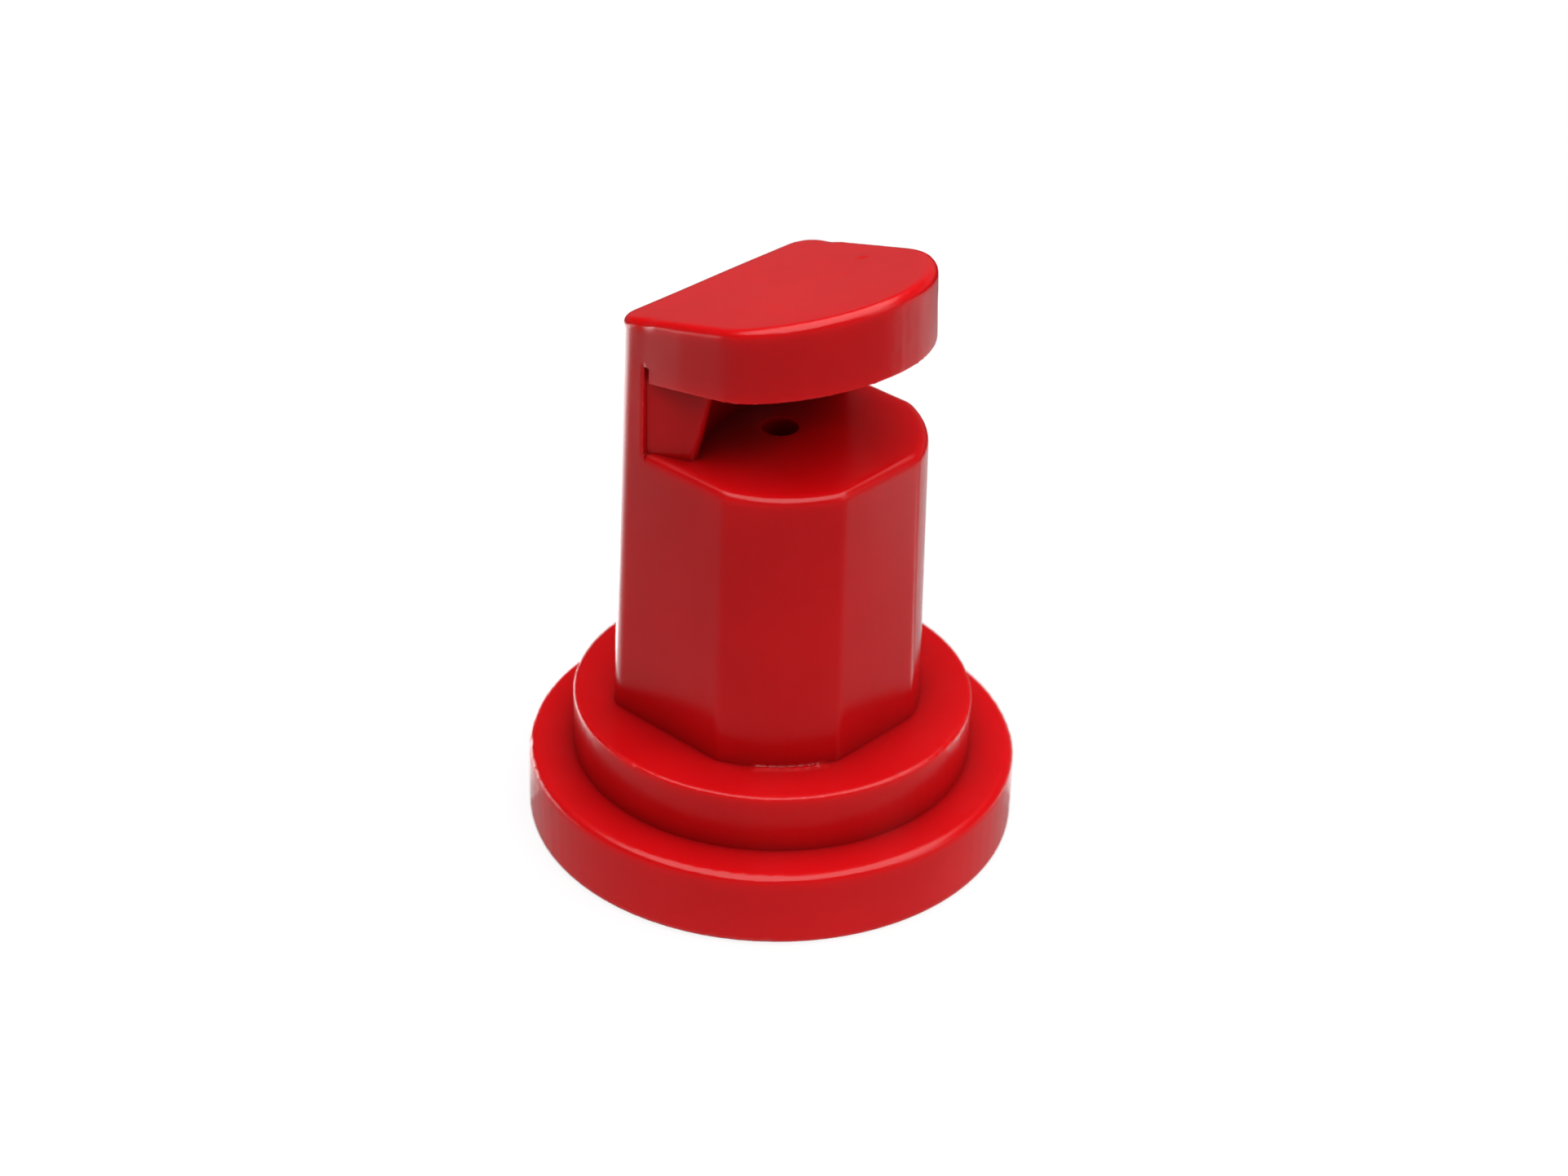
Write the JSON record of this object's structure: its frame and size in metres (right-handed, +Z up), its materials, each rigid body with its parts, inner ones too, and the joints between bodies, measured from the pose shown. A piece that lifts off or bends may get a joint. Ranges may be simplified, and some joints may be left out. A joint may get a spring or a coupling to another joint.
{
  "type": "deflector spray nozzle tip",
  "caption": "Flanged deflector spray nozzle tip: pilot ring, faceted stem with a central orifice, and a tilted round plate that fans the jet out to one side.",
  "frame": {"origin": "centre of the round base face, on the nozzle axis", "axes": "+Z up the nozzle axis from the base to the deflector plate; -Y is the side the spray leaves from and +Y is the stem's flat back; the part is symmetric in X"},
  "size_m": [0.015, 0.015, 0.0188],
  "materials": {
    "red_acetal": "glossy",
    "natural_acetal": "satin",
    "seal_rubber": "matte"
  },
  "bodies": {
    "root": {"nozzle_body": "red_acetal", "metering_insert": "natural_acetal", "inlet_seal": "seal_rubber"}
  },
  "joints": []
}
